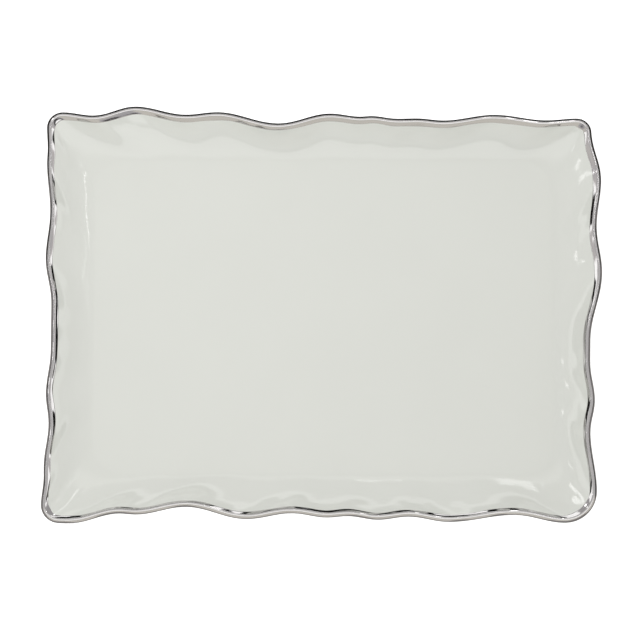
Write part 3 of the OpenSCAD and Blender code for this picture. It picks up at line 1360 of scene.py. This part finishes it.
@dataclass
class Studio:
    """A plain white table, soft light and the camera.

    The light that falls on the platter comes from an even tent. What the platter mirrors is a room of
    pale, dark and white zones at tint and height stops, one set each for the sides, the front and the
    back. A height is the upward part of a direction, from 0 at the horizon to 1 overhead.
    """

    tilt: float = 10.0
    distance: float = 2.4
    lens: float = 165.45
    sensor: float = 36.0
    sight_end: float = 50.0
    aim: tuple[float, float, float] = (-3.0, -6.6, 27.0)
    stand_over: tuple[float, float, float] = (-1.59, -2.28, 27.0)
    tent_light: float = 0.77
    tent_tint: str = "#fffefd"
    room_light: float = 1.6
    front_blend: tuple[float, float] = (0.0, -0.2)
    back_blend: tuple[float, float] = (0.2, 0.35)
    side_stops: tuple[tuple[float, str], ...] = (
        (0.0, "#0e0d0d"), (0.17, "#121111"), (0.18, "#ffffff"), (0.3, "#ffffff"), (0.32, "#b6b3b2"),
        (0.55, "#a8a6a9"), (0.9, "#a8a6a8"), (1.0, "#bbbab8"),
    )
    front_stops: tuple[tuple[float, str], ...] = (
        (0.0, "#807e80"), (0.03, "#4a4846"), (0.05, "#bfbcb5"), (0.5, "#c1beb7"), (0.54, "#a3a1a3"),
        (0.6, "#a3a1a3"), (0.61, "#2c2a2a"), (0.66, "#2c2a2a"), (0.68, "#ffffff"), (1.0, "#ffffff"),
    )
    back_stops: tuple[tuple[float, str], ...] = (
        (0.0, "#0e0d0d"), (0.19, "#121111"), (0.2, "#ffffff"), (0.32, "#ffffff"), (0.34, "#9b999a"),
        (0.5, "#939192"), (0.8, "#939192"), (0.84, "#e6e5e3"), (0.91, "#e6e5e3"), (0.95, "#b6b4b1"),
        (1.0, "#bbbab8"),
    )
    table_size: float = 8.0
    table_tint: str = "#f4f4f4"
    table_roughness: float = 0.9
    table_glow: float = 0.5
    mirrored_table: str = "#979494"
    mirrored_behind: str = "#3a3838"
    behind_blend: tuple[float, float] = (0.15, 0.17)

    def build(self) -> None:
        """Set up the table, the lights, the surroundings and the camera."""
        self._table()
        self._surroundings()
        for softbox in (
            Softbox("key_softbox", 226, 64, 0.8, (0.55, 0.55), 1.15, mirrored=False),
            Softbox("front_fill", 350, 40, 1.4, (0.9, 0.4), 1.2, mirrored=False),
            Softbox("right_window", 128, 61, 1.5, (0.018, 0.45), 8.0, lean=8),
            Softbox("right_strip", 118, 62, 1.5, (0.02, 0.3), 3.0),
            Softbox("left_strip", 262, 38, 1.6, (0.06, 0.22), 4.5),
            Softbox("back_strip", 162, 50, 1.6, (0.08, 0.6), 3.6, lean=-9),
            Softbox("back_spot", 174, 58, 1.6, (0.02, 0.2), 4.5),
            Softbox("corner_window", 226, 42, 1.6, (0.14, 0.4), 5.0),
        ):
            softbox.build()
        self._camera()

    def _table(self) -> None:
        """A wide table top, white to look at and grey where the platter mirrors it, as the stage."""
        start_alone()
        bpy.ops.mesh.primitive_plane_add(size=self.table_size)
        table = bpy.context.object
        table.name = "table"
        material = new_material("white_table")
        tree = material.node_tree
        paper = add_node(
            tree,
            "ShaderNodeBsdfPrincipled",
            {
                "Base Color": linear(self.table_tint),
                "Roughness": self.table_roughness,
                "Emission Color": linear("#ffffff"),
                "Emission Strength": self.table_glow,
            },
        )
        place = add_node(tree, "ShaderNodeTexCoord").outputs["Object"]
        split = add_node(tree, "ShaderNodeSeparateXYZ", {}, {0: place})
        behind = fit_range(tree, split.outputs["Y"], *self.behind_blend)
        tint = mix_colours(tree, behind, self.mirrored_table, self.mirrored_behind)
        shade = add_node(tree, "ShaderNodeBsdfDiffuse", {}, {"Color": tint})
        ray = add_node(tree, "ShaderNodeLightPath").outputs["Is Glossy Ray"]
        mixed = mix_shaders(tree, ray, paper.outputs["BSDF"], shade.outputs["BSDF"])
        add_node(tree, "ShaderNodeOutputMaterial", {}, {"Surface": mixed})
        table.data.materials.append(material)

    def _surroundings(self) -> None:
        """White to the camera, the room to what the platter mirrors, and the tent to all other light."""
        world = bpy.data.worlds.new("studio")
        bpy.context.scene.world = world
        world.use_nodes = True
        tree = world.node_tree
        tree.nodes.clear()
        heading = add_node(tree, "ShaderNodeTexCoord").outputs["Generated"]
        split = add_node(tree, "ShaderNodeSeparateXYZ", {}, {0: heading})
        frontward = fit_range(tree, split.outputs["Y"], *self.front_blend)
        backward = fit_range(tree, split.outputs["Y"], *self.back_blend)
        sides, front, back = (
            self._ramp(tree, split.outputs["Z"], stops).outputs[0]
            for stops in (self.side_stops, self.front_stops, self.back_stops)
        )
        zones = mix_colours(tree, backward, mix_colours(tree, frontward, sides, front), back)
        tent = {"Color": linear(self.tent_tint), "Strength": self.tent_light}
        soft = add_node(tree, "ShaderNodeBackground", tent).outputs[0]
        room = add_node(tree, "ShaderNodeBackground", {"Strength": self.room_light}, {"Color": zones})
        ray = add_node(tree, "ShaderNodeLightPath")
        lit = mix_shaders(tree, ray.outputs["Is Glossy Ray"], soft, room.outputs[0])
        white = add_node(tree, "ShaderNodeBackground", {"Color": linear("#ffffff"), "Strength": 1.0})
        seen = mix_shaders(tree, ray.outputs["Is Camera Ray"], lit, white.outputs[0])
        add_node(tree, "ShaderNodeOutputWorld", {}, {"Surface": seen})

    def _ramp(
        self, tree: bpy.types.NodeTree, height: bpy.types.NodeSocket, stops: Sequence[tuple[float, str]]
    ) -> bpy.types.Node:
        """A ramp of greys from the horizon up to the zenith.

        Args:
            tree: The world's node tree.
            height: The upward part of the direction that is looked in.
            stops: Pairs of a height and a colour, from the horizon up.

        Returns:
            The ramp.
        """
        ramp = add_node(tree, "ShaderNodeValToRGB", {}, {0: height})
        elements = ramp.color_ramp.elements
        elements[0].position, elements[0].color = stops[0][0], linear(stops[0][1])
        elements[1].position, elements[1].color = stops[-1][0], linear(stops[-1][1])
        for place, colour in stops[1:-1]:
            elements.new(place).color = linear(colour)
        return ramp

    def _camera(self) -> None:
        """A long lens, nearly overhead, square to the platter's front."""
        tilt = math.radians(self.tilt)
        towards = np.array([0, -math.sin(tilt), math.cos(tilt)])
        spot = np.array(self.stand_over) * MM + self.distance * towards
        bpy.ops.object.camera_add(location=tuple(spot))
        camera = bpy.context.object
        camera.name = "camera"
        camera.data.lens = self.lens
        camera.data.sensor_width = self.sensor
        camera.data.clip_end = self.sight_end
        look = np.array(self.aim) * MM - spot
        across = math.atan2(-look[0], math.hypot(look[1], look[2]))
        camera.rotation_euler = (math.atan2(look[1], -look[2]), 0, 0)
        camera.rotation_euler.rotate_axis("Y", across)
        bpy.context.scene.camera = camera


def main() -> None:
    """Build the studio and the platter, piece by piece."""
    logging.basicConfig(level=logging.INFO, format="%(name)s: %(message)s")
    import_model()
    bpy.context.scene.view_settings.view_transform = "Standard"
    Studio().build()

    shape = PlatterShape.from_frame()
    glaze = PorcelainGlaze().material()
    platinum = PlatinumLustre().material()
    clay = BiscuitPorcelain().material()

    body = PorcelainBody(shape)
    body.dress(body.build(), clay)
    well = WellGlaze(shape)
    well.dress(well.build(), glaze)
    underside = UndersideGlaze(shape)
    underside.dress(underside.build(), glaze)
    base = BaseGlaze(shape)
    base.dress(base.build(), glaze)
    band = RimBand(shape)
    band.dress(band.build(), platinum)
    outer_r = shape.floor_corner_r - shape.foot_inset
    for ring in (
        FootRing(shape, "outer_foot_ring_clay", "outer_foot_ring", shape.foot_half, outer_r),
        FootRing(shape, "centre_foot_ring_clay", "centre_foot_ring", shape.centre_half, shape.centre_ring_r),
    ):
        ring.dress(ring.build(), clay)


if __name__ == "__main__":
    main()
